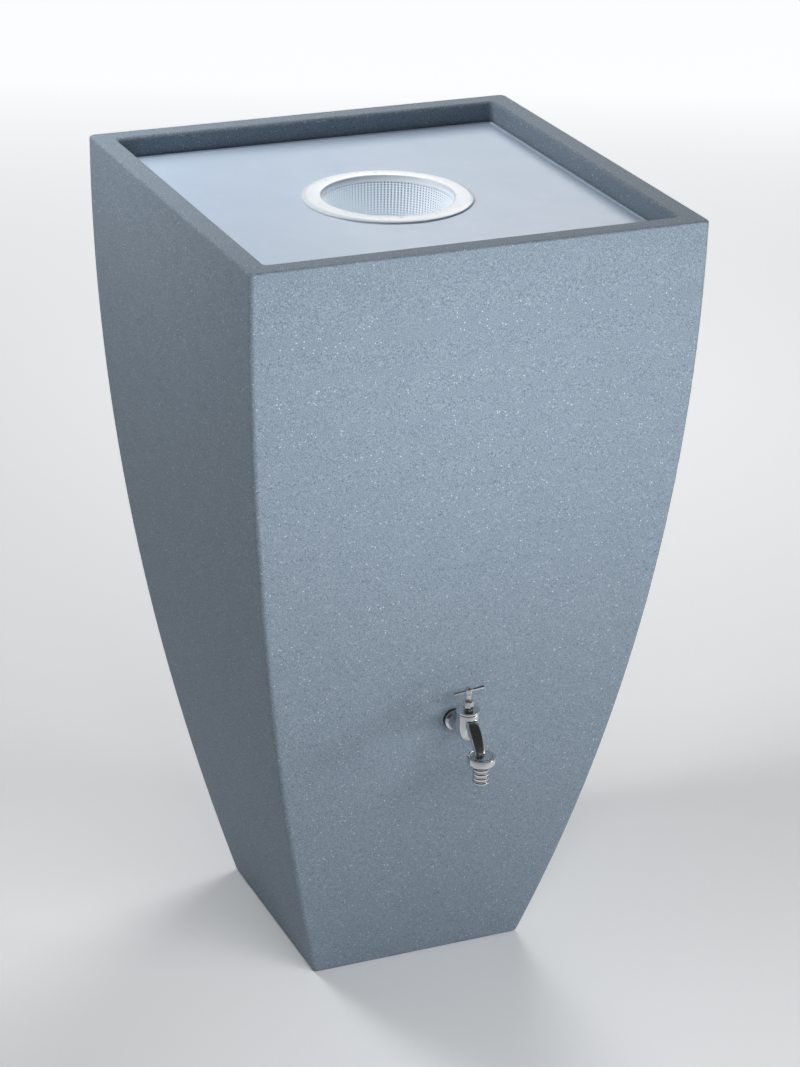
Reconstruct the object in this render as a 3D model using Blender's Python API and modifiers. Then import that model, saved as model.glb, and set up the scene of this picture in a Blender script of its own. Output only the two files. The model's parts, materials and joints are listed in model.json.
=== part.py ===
"""A square, tapering rain barrel with a drop-in lid, a leaf sieve and a chromed bib tap.

Metres, +Z up. The origin is the centre of the base, the tap faces -Y, and the object is at rest:
lid down, sieve in, tap shut, hose coupling screwed home.
"""

import math

import bmesh
import bpy
from mathutils import Matrix

MM = 0.001
GAP = 0.3 * MM  # between pieces that touch

# Barrel
HEIGHT = 1.0
TOP_HALF = 285 * MM
BASE_HALF = 142.5 * MM
WALL = 5 * MM
FLOOR = 6 * MM
SIDE_LEVELS = 12
CORNER_RADIUS = 7 * MM
BASE_EDGE_RADIUS = 6 * MM
RIM_EDGE_RADIUS = 3 * MM

# Each side leans in along one circular arc that is upright at the rim.
LEAN = TOP_HALF - BASE_HALF
SIDE_RADIUS = (HEIGHT**2 + LEAN**2) / (2 * LEAN)

# Recess in the top, with a ledge that the lid lies on
RECESS_HALF = 256 * MM
RECESS_EDGE_RADIUS = 6 * MM
RECESS_CORNER_RADIUS = 7 * MM
LEDGE_TOP = HEIGHT - 31 * MM
LEDGE_INNER_HALF = 242 * MM

# Lid
LID_HALF = RECESS_HALF - 2 * MM
LID_THICKNESS = 4 * MM
LID_CORNER_RADIUS = 5 * MM
LID_LIP_WIDTH = 2.5 * MM
LID_LIP_HEIGHT = 1.2 * MM
LID_BOTTOM = LEDGE_TOP + GAP
LID_TOP = LID_BOTTOM + LID_THICKNESS
LID_HOLE_RADIUS = 84 * MM

# Leaf sieve that hangs in the lid's hole
SIEVE_FLANGE_RADIUS = 104 * MM
SIEVE_FLANGE_THICKNESS = 3 * MM
SIEVE_MOUTH_RADIUS = 79 * MM
SIEVE_FOOT_RADIUS = 70 * MM
SIEVE_DEPTH = 130 * MM
SIEVE_WALL = 2 * MM

# Tap: its inlet runs along Y, its valve and its outlet are upright
TAP_Z = 381 * MM
SEAT_Y = -232.5 * MM
VALVE_Y = -274.3 * MM
OUTLET_Y = -316 * MM
SHANK_RADIUS = 10.4 * MM  # half-inch pipe thread
SEAT_RADIUS = 17.5 * MM
INNER_SEAT_RADIUS = 22 * MM
SEAT_THICKNESS = 12 * MM
HANDLE_ANGLE = math.radians(10)
FINE = 32  # segments round a piece that shows
PLAIN = 24  # segments round a small or hidden one


def half_width(z):
    """Half the barrel's outer width at height z."""
    return TOP_HALF - SIDE_RADIUS + math.sqrt(SIDE_RADIUS**2 - (HEIGHT - z) ** 2)


# The tap's flat seat stands proud of the sloping wall at its foot and is sunk into it at its top.
INNER_SEAT_Y = SEAT_Y + SEAT_THICKNESS


# ---------------------------------------------------------------- scene and materials


def clear_scene():
    for obj in list(bpy.data.objects):
        bpy.data.objects.remove(obj)


def new_collection(name):
    collection = bpy.data.collections.new(name)
    bpy.context.scene.collection.children.link(collection)
    return collection


def new_material(name, colour, roughness, metallic=0.0):
    material = bpy.data.materials.new(name)
    material.use_nodes = True
    shader = material.node_tree.nodes["Principled BSDF"]
    shader.inputs["Base Color"].default_value = (*colour, 1)
    shader.inputs["Roughness"].default_value = roughness
    shader.inputs["Metallic"].default_value = metallic
    return material


clear_scene()
BARREL = new_collection("rain_barrel")
CUTTERS = new_collection("cutters")
STONE_PLASTIC = new_material("stone_plastic", (0.22, 0.27, 0.32), 0.75)
LID_PLASTIC = new_material("lid_plastic", (0.50, 0.58, 0.66), 0.45)
WHITE_PLASTIC = new_material("white_plastic", (0.85, 0.87, 0.90), 0.3)
CHROME = new_material("chrome", (0.75, 0.75, 0.76), 0.08, 1.0)
BRASS = new_material("brass", (0.72, 0.53, 0.25), 0.35, 1.0)
STEEL = new_material("steel", (0.60, 0.60, 0.62), 0.3, 1.0)
RUBBER = new_material("rubber", (0.03, 0.03, 0.03), 0.8)
FIBRE = new_material("fibre", (0.35, 0.12, 0.08), 0.8)


# ---------------------------------------------------------------- shape helpers


def add_object(name, bm, collection, material=None):
    mesh = bpy.data.meshes.new(name)
    bmesh.ops.recalc_face_normals(bm, faces=bm.faces)
    bm.to_mesh(mesh)
    bm.free()
    obj = bpy.data.objects.new(name, mesh)
    collection.objects.link(obj)
    if material:
        mesh.materials.append(material)
    if collection is CUTTERS:
        obj.hide_render = True
        obj.display_type = "WIRE"
    return obj


def square_block(name, width_at, levels, collection, material=None):
    """A square block about the Z axis: a cube cut at each level and given the half width there."""
    bm = bmesh.new()
    bmesh.ops.create_cube(bm, size=1)
    for vert in bm.verts:
        vert.co.z = levels[-1] if vert.co.z > 0 else levels[0]
    for level in levels[1:-1]:
        everything = bm.verts[:] + bm.edges[:] + bm.faces[:]
        bmesh.ops.bisect_plane(bm, geom=everything, plane_co=(0, 0, level), plane_no=(0, 0, 1))
    for vert in bm.verts:
        half = width_at(vert.co.z)
        vert.co.x = math.copysign(half, vert.co.x)
        vert.co.y = math.copysign(half, vert.co.y)
    return add_object(name, bm, collection, material)


def round_block(block, upright, top=0.0, base=0.0, segments=3):
    """Rounds a square block's upright edges, and its top and base edges if they have a radius."""
    bm = bmesh.new()
    bm.from_mesh(block.data)
    weight = bm.edges.layers.float.new("bevel_weight_edge")
    low = min(vert.co.z for vert in bm.verts)
    high = max(vert.co.z for vert in bm.verts)
    widest = max(upright, top, base)
    for edge in bm.edges:
        ends = [vert.co.z for vert in edge.verts]
        if abs(ends[0] - ends[1]) > 1e-6:
            edge[weight] = upright / widest
        elif min(ends) > high - 1e-6:
            edge[weight] = top / widest
        elif max(ends) < low + 1e-6:
            edge[weight] = base / widest
    bm.to_mesh(block.data)
    bm.free()
    bevel = block.modifiers.new("rounded_edges", "BEVEL")
    bevel.limit_method = "WEIGHT"
    bevel.width = widest
    bevel.segments = segments


def turned(name, profile, collection, material=None, segments=PLAIN, closed=True):
    """Turns (radius, height) points about Z. They run down the outer side, then up the inner one."""
    mesh = bpy.data.meshes.new(name)
    edges = [(i, i + 1) for i in range(len(profile) - 1)]
    if closed:
        edges.append((len(profile) - 1, 0))
    mesh.from_pydata([(radius, 0, height) for radius, height in profile], edges, [])
    obj = bpy.data.objects.new(name, mesh)
    collection.objects.link(obj)
    if material:
        mesh.materials.append(material)
    if collection is CUTTERS:
        obj.hide_render = True
        obj.display_type = "WIRE"
    screw = obj.modifiers.new("turn", "SCREW")
    screw.steps = screw.render_steps = segments
    screw.use_merge_vertices = True
    screw.merge_threshold = 1e-5
    screw.use_smooth_shade = True
    return obj


def tube(name, outer, inner, low, high, collection, material=None, segments=PLAIN, chamfer=0.0):
    """A plain ring from height low to high, its outer edges chamfered."""
    profile = [(outer - chamfer, high), (outer, high - chamfer), (outer, low + chamfer)]
    profile += [(outer - chamfer, low), (inner, low), (inner, high)]
    if not chamfer:
        profile = [(outer, high), (outer, low), (inner, low), (inner, high)]
    return turned(name, profile, collection, material, segments)


def rod(name, radius, low, high, collection, material=None, segments=PLAIN):
    """A cylinder about Z from height low to high."""
    bm = bmesh.new()
    bmesh.ops.create_cone(
        bm, cap_ends=True, segments=segments, radius1=radius, radius2=radius, depth=high - low
    )
    bmesh.ops.translate(bm, verts=bm.verts, vec=(0, 0, (high + low) / 2))
    return add_object(name, bm, collection, material)


def lay_along_y(obj):
    """Turns a piece made about Z so that its height runs along Y, at the tap's inlet axis."""
    obj.matrix_world = Matrix.Translation((0, 0, TAP_Z)) @ Matrix.Rotation(-math.pi / 2, 4, "X")
    return obj


def stand_at(obj, y, angle=0.0):
    """Stands a piece made about Z on the upright axis at (0, y)."""
    obj.matrix_world = Matrix.Translation((0, y, 0)) @ Matrix.Rotation(angle, 4, "Z")
    return obj


def boolean(obj, other, operation):
    modifier = obj.modifiers.new(other.name, "BOOLEAN")
    modifier.object = other
    modifier.operation = operation
    modifier.solver = "EXACT"


def cut(obj, *cutters):
    for cutter in cutters:
        boolean(obj, cutter, "DIFFERENCE")


def join(obj, *pieces):
    for piece in pieces:
        boolean(obj, piece, "UNION")


def spread(low, high, count):
    return [low + (high - low) * i / count for i in range(count + 1)]


# ---------------------------------------------------------------- barrel, lid and sieve


def recess_half_width(z):
    """Half width of the recess, which flares out round the rim's inner edge."""
    above = min(max(z - (HEIGHT - RECESS_EDGE_RADIUS), 0), RECESS_EDGE_RADIUS)
    return RECESS_HALF + RECESS_EDGE_RADIUS - math.sqrt(RECESS_EDGE_RADIUS**2 - above**2)


def make_void():
    """The space inside the skin, less the tray of the recess and the pad behind the tap."""
    levels = spread(FLOOR, HEIGHT - WALL, SIDE_LEVELS)
    void = square_block("void", lambda z: half_width(z) - WALL, levels, CUTTERS)
    round_block(void, CORNER_RADIUS - WALL, base=CORNER_RADIUS - WALL, segments=2)
    tray_levels = [LEDGE_TOP - WALL, HEIGHT + WALL]
    tray = square_block("tray", lambda z: RECESS_HALF + WALL, tray_levels, CUTTERS)
    round_block(tray, RECESS_CORNER_RADIUS + WALL)
    pad = lay_along_y(rod("inner_pad", INNER_SEAT_RADIUS, -TOP_HALF, INNER_SEAT_Y, CUTTERS, segments=FINE))
    cut(void, tray, pad)
    return void


def make_barrel_shell():
    levels = spread(0, HEIGHT, SIDE_LEVELS)
    shell = square_block("barrel_shell", half_width, levels, BARREL, STONE_PLASTIC)
    round_block(shell, CORNER_RADIUS, RIM_EDGE_RADIUS, BASE_EDGE_RADIUS)
    flare = spread(HEIGHT - RECESS_EDGE_RADIUS, HEIGHT, 3)
    recess_levels = [LEDGE_TOP, *flare, HEIGHT + WALL]
    recess = square_block("recess", recess_half_width, recess_levels, CUTTERS)
    round_block(recess, RECESS_CORNER_RADIUS)
    mouth_levels = [LEDGE_TOP - 2 * WALL, LEDGE_TOP + WALL]
    mouth = square_block("mouth", lambda z: LEDGE_INNER_HALF, mouth_levels, CUTTERS)
    round_block(mouth, RECESS_CORNER_RADIUS)
    boss = lay_along_y(rod("boss", SEAT_RADIUS, SEAT_Y, INNER_SEAT_Y, CUTTERS, segments=FINE))
    pocket_radius = SEAT_RADIUS + 0.5 * MM
    pocket = lay_along_y(rod("pocket", pocket_radius, -TOP_HALF, SEAT_Y, CUTTERS, segments=FINE))
    hole_radius = SHANK_RADIUS + 0.5 * MM
    hole = rod("shank_hole", hole_radius, SEAT_Y - 5 * MM, INNER_SEAT_Y + 5 * MM, CUTTERS)
    cut(shell, make_void(), recess, mouth)
    join(shell, boss)
    cut(shell, pocket, lay_along_y(hole))


def make_lid():
    levels = [LID_BOTTOM, LID_TOP + LID_LIP_HEIGHT]
    lid = square_block("lid_panel", lambda z: LID_HALF, levels, BARREL, LID_PLASTIC)
    round_block(lid, LID_CORNER_RADIUS, top=1 * MM)
    tray_levels = [LID_TOP, LID_TOP + 5 * MM]
    inner_half = LID_HALF - LID_LIP_WIDTH
    tray = square_block("lid_tray", lambda z: inner_half, tray_levels, CUTTERS)
    round_block(tray, LID_CORNER_RADIUS - LID_LIP_WIDTH)
    hole = rod("lid_hole", LID_HOLE_RADIUS, LID_BOTTOM - WALL, LID_TOP + WALL, CUTTERS, segments=48)
    cut(lid, tray, hole)


def make_sieve():
    bottom = LID_TOP + GAP
    top = bottom + SIEVE_FLANGE_THICKNESS
    foot = top - SIEVE_DEPTH
    outer_mouth = SIEVE_MOUTH_RADIUS + SIEVE_WALL
    outer_foot = SIEVE_FOOT_RADIUS + SIEVE_WALL
    profile = [
        (SIEVE_FLANGE_RADIUS - 6 * MM, top),
        (SIEVE_FLANGE_RADIUS - 1 * MM, top - 1 * MM),
        (SIEVE_FLANGE_RADIUS, bottom + 0.5 * MM),
        (SIEVE_FLANGE_RADIUS - 0.5 * MM, bottom),
        (outer_mouth + 1 * MM, bottom),
        (outer_mouth, bottom - 2 * MM),
        (outer_foot, foot + 3 * MM),
        (outer_foot - 3 * MM, foot),
        (0, foot),
        (0, foot + SIEVE_WALL),
        (SIEVE_FOOT_RADIUS - 2 * MM, foot + SIEVE_WALL),
        (SIEVE_FOOT_RADIUS, foot + SIEVE_WALL + 2 * MM),
        (SIEVE_MOUTH_RADIUS, top - 3 * MM),
        (SIEVE_MOUTH_RADIUS + 1 * MM, top - 1 * MM),
        (SIEVE_MOUTH_RADIUS + 3 * MM, top),
    ]
    turned("sieve_basket", profile, BARREL, WHITE_PLASTIC, segments=48)


# ---------------------------------------------------------------- tap

# Along the inlet's axis
COLLAR_RADIUS = 13 * MM
COLLAR_THICKNESS = 4.6 * MM
NECK_WAIST = 9.6 * MM
NECK_ROOT = 10.6 * MM
SHANK_LENGTH = 17 * MM  # beyond the inside of the wall
GASKET_THICKNESS = 2.5 * MM
WASHER_THICKNESS = 1.5 * MM
LOCK_NUT_THICKNESS = 7 * MM
LOCK_NUT_FLAT_HALF = 13.5 * MM
BACK_RING_RADIUS = 16 * MM  # of the gasket and the washer inside the barrel
INLET_BORE_RADIUS = 6.2 * MM

# Heights along the valve's axis
BOWL_BOTTOM = 371 * MM
BOWL_SHOULDER = 394 * MM  # the bowl is straight above this
JUMPER_BOTTOM = 385.5 * MM
SEAT_TOP = 389 * MM
DISC_BOTTOM = 392.6 * MM
DISC_TOP = 395.1 * MM
SPINDLE_BOTTOM = 395.7 * MM
BONNET_BOTTOM = 402 * MM
JUMPER_TOP = 402.5 * MM
SPINDLE_BORE_TOP = 403 * MM
SPINDLE_SHOULDER = 405.5 * MM
BODY_TOP = 409.2 * MM
FLANGE_BOTTOM = 410.3 * MM
BONNET_BORE_TOP = 412 * MM
FLANGE_TOP = 413 * MM
NECK_TOP = 420 * MM
GLAND_BOTTOM = 414.8 * MM
PACKING_TOP = 421.7 * MM
GLAND_TOP = 425 * MM
SLEEVE_BOTTOM = 426.5 * MM
HUB_BOTTOM = 434.5 * MM
HUB_TOP = 441.5 * MM
BAR_Z = 438.3 * MM

# Radii about the valve's axis
CHAMBER_RADIUS = 11 * MM
BODY_RADIUS = 13.9 * MM
FLANGE_RADIUS = 14.6 * MM
NECK_RADIUS = 4.8 * MM
GLAND_FLAT_HALF = 5.8 * MM
STEM_RADIUS = 3 * MM
JUMPER_STEM_RADIUS = 2.9 * MM
JUMPER_PIN_RADIUS = 1.5 * MM
DISC_RADIUS = 8 * MM
SEAT_HOLE_RADIUS = 5 * MM
SCREW_RADIUS = 1.4 * MM
SCREW_HOLE_RADIUS = 1.7 * MM
SPINDLE_THREAD_RADIUS = 5.6 * MM
HUB_RADIUS = 5 * MM
SLEEVE_RADIUS = 3.8 * MM
BAR_REACH = (4 * MM, 22 * MM)  # from the axis
BAR_RADII = (1.7 * MM, 2.5 * MM)

# Heights along the outlet's axis
COLLAR_TOP = 370.8 * MM
COLLAR_BOTTOM = 364.5 * MM
NUT_TOP = 370.4 * MM
NUT_BAND_BOTTOM = 362.8 * MM
NUT_SHOULDER = 360.3 * MM
NUT_BOTTOM = 356.6 * MM
NOZZLE_FLANGE_TOP = 362.4 * MM
NOZZLE_END = 335 * MM
NOZZLE_BORE_RADIUS = 7.5 * MM
NOZZLE_NECK_RADIUS = 9.1 * MM
RIB_RADIUS = 10.4 * MM
RIB_PITCH = 5.75 * MM
RIBS = 4
OUTLET_THREAD_RADIUS = 13.2 * MM  # three-quarter-inch pipe thread
NUT_RADIUS = 17.5 * MM
NUT_HOLE_RADIUS = 10.9 * MM


# The spout's centre line in the YZ plane: place, slope and how much of the full section is left
SPOUT_ROUTE = (
    ((-277, 401), (-8, -2), 1.0),
    ((-298, 388.5), (-5, -5.5), 0.94),
    ((-312, 366.5), (-2.5, -7.5), 0.84),
)
SPOUT_SECTION = (15.6 * MM, 12 * MM)
SPOUT_BORE_SECTION = (9.6 * MM, 6.4 * MM)


def make_valve_chamber():
    """The pear-shaped casting round the valve."""
    profile = [(0, BODY_TOP), (BODY_RADIUS - 0.6 * MM, BODY_TOP), (BODY_RADIUS, BODY_TOP - 0.8 * MM)]
    for i in range(8):
        turn = i / 8 * math.pi / 2
        height = BOWL_BOTTOM + (BOWL_SHOULDER - BOWL_BOTTOM) * (1 - math.sin(turn))
        profile.append((BODY_RADIUS * math.cos(turn) ** 0.9, height))
    profile.append((0, BOWL_BOTTOM))
    chamber = turned("tap_body", profile, BARREL, CHROME, segments=FINE, closed=False)
    return stand_at(chamber, VALVE_Y)


def make_spout_tube(name, wide, tall):
    """A tube of rounded-rectangle section swept along the spout's bend."""
    outline = bpy.data.curves.new(name + "_outline", "CURVE")
    outline.dimensions = "2D"
    spline = outline.splines.new("POLY")
    steps = 4
    corner = 0.3
    points = []
    for sx, sy, start in ((1, 1, 0), (-1, 1, 1), (-1, -1, 2), (1, -1, 3)):
        for i in range(steps):
            turn = (start + i / (steps - 1)) * math.pi / 2
            across = sx * (0.5 - corner) + corner * math.cos(turn)
            along = sy * (0.5 - corner) + corner * math.sin(turn)
            points.append((across * wide, along * tall, 0, 1))
    spline.points.add(len(points) - 1)
    for point, place in zip(spline.points, points):
        point.co = place
    spline.use_cyclic_u = True
    outline_object = bpy.data.objects.new(name + "_outline", outline)
    CUTTERS.objects.link(outline_object)
    outline_object.hide_render = True
    outline_object.display_type = "WIRE"

    path = bpy.data.curves.new(name + "_path", "CURVE")
    path.dimensions = "3D"
    path.twist_mode = "MINIMUM"
    path.bevel_mode = "OBJECT"
    path.bevel_object = outline_object
    path.use_fill_caps = True
    path.resolution_u = 4
    route = path.splines.new("BEZIER")
    route.bezier_points.add(len(SPOUT_ROUTE) - 1)
    for point, ((y, z), (along, down), left_of_section) in zip(route.bezier_points, SPOUT_ROUTE):
        point.co = (0, y * MM, z * MM)
        point.handle_left = (0, (y - along) * MM, (z - down) * MM)
        point.handle_right = (0, (y + along) * MM, (z + down) * MM)
        point.radius = left_of_section
    curve_object = bpy.data.objects.new(name + "_path", path)
    CUTTERS.objects.link(curve_object)
    return mesh_from_curve(name, curve_object)


def mesh_from_curve(name, curve_object):
    """A closed mesh cutter of the curve's swept shape. The curve itself is removed."""
    bpy.context.view_layer.update()
    graph = bpy.context.evaluated_depsgraph_get()
    mesh = bpy.data.meshes.new_from_object(curve_object.evaluated_get(graph))
    bm = bmesh.new()
    bm.from_mesh(mesh)
    bmesh.ops.remove_doubles(bm, verts=bm.verts, dist=1e-6)
    obj = add_object(name, bm, CUTTERS)
    obj.matrix_world = curve_object.matrix_world
    bpy.data.objects.remove(curve_object)
    return obj


def make_tap_body():
    body = make_valve_chamber()
    collar_back = SEAT_Y - 2 * GAP - GASKET_THICKNESS
    shank_end = INNER_SEAT_Y + SHANK_LENGTH
    inlet_profile = [
        (0, shank_end),
        (SHANK_RADIUS - 1 * MM, shank_end),
        (SHANK_RADIUS, shank_end - 1 * MM),
        (SHANK_RADIUS, collar_back),
        (COLLAR_RADIUS, collar_back),
        (COLLAR_RADIUS, collar_back - 0.5 * COLLAR_THICKNESS),
        (COLLAR_RADIUS - 0.8 * MM, collar_back - 0.8 * COLLAR_THICKNESS),
        (COLLAR_RADIUS - 2.6 * MM, collar_back - COLLAR_THICKNESS),
        (NECK_WAIST, collar_back - COLLAR_THICKNESS - 1 * MM),
        (NECK_WAIST, collar_back - COLLAR_THICKNESS - 4 * MM),
        (NECK_ROOT, VALVE_Y + CHAMBER_RADIUS + 1.5 * MM),
        (NECK_WAIST, VALVE_Y + 2 * MM),
        (0, VALVE_Y + 2 * MM),
    ]
    inlet = lay_along_y(turned("inlet", inlet_profile, CUTTERS, closed=False, segments=FINE))
    spout = make_spout_tube("spout", *SPOUT_SECTION)
    collar = rod("outlet_collar", OUTLET_THREAD_RADIUS, COLLAR_BOTTOM, COLLAR_TOP, CUTTERS, segments=FINE)
    join(body, inlet, spout, stand_at(collar, OUTLET_Y))

    chamber = rod("chamber_bore", CHAMBER_RADIUS, SEAT_TOP, BODY_TOP + 5 * MM, CUTTERS)
    seat_hole = rod("seat_hole", SEAT_HOLE_RADIUS, TAP_Z, SEAT_TOP + 2 * MM, CUTTERS)
    inlet_bore = rod("inlet_bore", INLET_BORE_RADIUS, VALVE_Y - 4.5 * MM, shank_end + 5 * MM, CUTTERS)
    spout_bore = make_spout_tube("spout_bore", *SPOUT_BORE_SECTION)
    outlet_bore = rod("outlet_bore", NOZZLE_BORE_RADIUS, COLLAR_BOTTOM - 5 * MM, COLLAR_BOTTOM + 3 * MM, CUTTERS)
    cut(body, stand_at(chamber, VALVE_Y), stand_at(seat_hole, VALVE_Y), lay_along_y(inlet_bore))
    cut(body, spout_bore, stand_at(outlet_bore, OUTLET_Y))
    for modifier in body.modifiers:
        if modifier.type == "BOOLEAN":
            modifier.solver = "MANIFOLD"  # EXACT leaves the mesh open where the spout's bore crosses the rest


def make_wall_fixings():
    """The gaskets, washer and lock nut that clamp the tap's shank in the wall."""
    clear = SHANK_RADIUS + GAP
    outer_start = SEAT_Y - GAP - GASKET_THICKNESS
    gasket_start = INNER_SEAT_Y + GAP
    washer_start = gasket_start + GASKET_THICKNESS + GAP
    nut_start = washer_start + WASHER_THICKNESS + GAP
    rings = (
        ("outer_gasket", COLLAR_RADIUS + 0.8 * MM, outer_start, GASKET_THICKNESS, RUBBER),
        ("inner_gasket", BACK_RING_RADIUS, gasket_start, GASKET_THICKNESS, RUBBER),
        ("inner_washer", BACK_RING_RADIUS, washer_start, WASHER_THICKNESS, STEEL),
    )
    for name, radius, start, thickness, material in rings:
        lay_along_y(tube(name, radius, clear, start, start + thickness, BARREL, material, FINE))
    nut = hexagon("lock_nut", LOCK_NUT_FLAT_HALF, nut_start, nut_start + LOCK_NUT_THICKNESS, BRASS)
    lock_bore = rod("lock_nut_bore", clear, nut_start - WALL, nut_start + 2 * LOCK_NUT_THICKNESS, CUTTERS)
    lay_along_y(lock_bore)
    cut(lay_along_y(nut), lock_bore)


def hexagon(name, flat_half, low, high, material):
    """A hexagonal bar about Z whose flats are flat_half from the axis."""
    nut = rod(name, flat_half / math.cos(math.pi / 6), low, high, BARREL, material, segments=6)
    bevel = nut.modifiers.new("worn_edges", "BEVEL")
    bevel.width = 0.4 * MM
    bevel.segments = 1
    bevel.limit_method = "ANGLE"
    return nut


def make_bonnet():
    gasket = tube("bonnet_gasket", BODY_RADIUS - 1 * MM, CHAMBER_RADIUS + 0.2 * MM, BODY_TOP + GAP,
                  FLANGE_BOTTOM - GAP, BARREL, FIBRE)
    stand_at(gasket, VALVE_Y)
    profile = [
        (NECK_RADIUS, NECK_TOP),
        (NECK_RADIUS, FLANGE_TOP),
        (FLANGE_RADIUS - 0.6 * MM, FLANGE_TOP),
        (FLANGE_RADIUS, FLANGE_TOP - 0.6 * MM),
        (FLANGE_RADIUS, FLANGE_BOTTOM),
        (CHAMBER_RADIUS - GAP, FLANGE_BOTTOM),
        (CHAMBER_RADIUS - GAP, BONNET_BOTTOM),
        (SPINDLE_THREAD_RADIUS + GAP, BONNET_BOTTOM),
        (SPINDLE_THREAD_RADIUS + GAP, BONNET_BORE_TOP),
        (STEM_RADIUS + 0.25 * MM, BONNET_BORE_TOP),
        (STEM_RADIUS + 0.25 * MM, NECK_TOP),
    ]
    stand_at(turned("bonnet", profile, BARREL, CHROME, segments=FINE), VALVE_Y)
    packing = tube("gland_packing", NECK_RADIUS - 0.2 * MM, STEM_RADIUS + 0.2 * MM, NECK_TOP + GAP,
                   PACKING_TOP, BARREL, RUBBER)
    stand_at(packing, VALVE_Y)
    nut = stand_at(hexagon("gland_nut", GLAND_FLAT_HALF, GLAND_BOTTOM, GLAND_TOP, CHROME), VALVE_Y)
    nut_bore = rod("gland_bore", NECK_RADIUS + 0.2 * MM, GLAND_BOTTOM - MM, PACKING_TOP + GAP, CUTTERS)
    nut_hole = rod("gland_hole", STEM_RADIUS + GAP, PACKING_TOP - GAP, GLAND_TOP + MM, CUTTERS)
    cut(nut, stand_at(nut_bore, VALVE_Y), stand_at(nut_hole, VALVE_Y))


def make_valve():
    """The jumper that shuts the seat, with its washer and nut."""
    jumper_profile = [
        (0, JUMPER_TOP),
        (JUMPER_STEM_RADIUS, JUMPER_TOP),
        (JUMPER_STEM_RADIUS, DISC_TOP),
        (DISC_RADIUS, DISC_TOP),
        (DISC_RADIUS, DISC_BOTTOM),
        (JUMPER_PIN_RADIUS, DISC_BOTTOM),
        (JUMPER_PIN_RADIUS, JUMPER_BOTTOM),
        (0, JUMPER_BOTTOM),
    ]
    stand_at(turned("valve_jumper", jumper_profile, BARREL, BRASS, closed=False), VALVE_Y)
    clear = JUMPER_PIN_RADIUS + GAP
    washer = tube("seat_washer", DISC_RADIUS - 0.4 * MM, clear, SEAT_TOP + GAP, DISC_BOTTOM - GAP, BARREL, RUBBER)
    stand_at(washer, VALVE_Y)
    nut = stand_at(hexagon("washer_nut", 3.2 * MM, JUMPER_BOTTOM + 0.8 * MM, SEAT_TOP, BRASS), VALVE_Y)
    nut_bore = rod("washer_nut_bore", clear, JUMPER_BOTTOM - MM, SEAT_TOP + MM, CUTTERS)
    cut(nut, stand_at(nut_bore, VALVE_Y))


def make_spindle():
    stem_top = HUB_TOP - 3.5 * MM
    screw_depth = 8 * MM
    profile = [
        (SCREW_HOLE_RADIUS, stem_top),
        (STEM_RADIUS, stem_top),
        (STEM_RADIUS, SPINDLE_SHOULDER),
        (SPINDLE_THREAD_RADIUS, SPINDLE_SHOULDER),
        (SPINDLE_THREAD_RADIUS, SPINDLE_BOTTOM),
        (JUMPER_STEM_RADIUS + GAP, SPINDLE_BOTTOM),
        (JUMPER_STEM_RADIUS + GAP, SPINDLE_BORE_TOP),
        (0, SPINDLE_BORE_TOP),
        (0, stem_top - screw_depth),
        (SCREW_HOLE_RADIUS, stem_top - screw_depth),
    ]
    stand_at(turned("spindle", profile, BARREL, BRASS), VALVE_Y)


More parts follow.
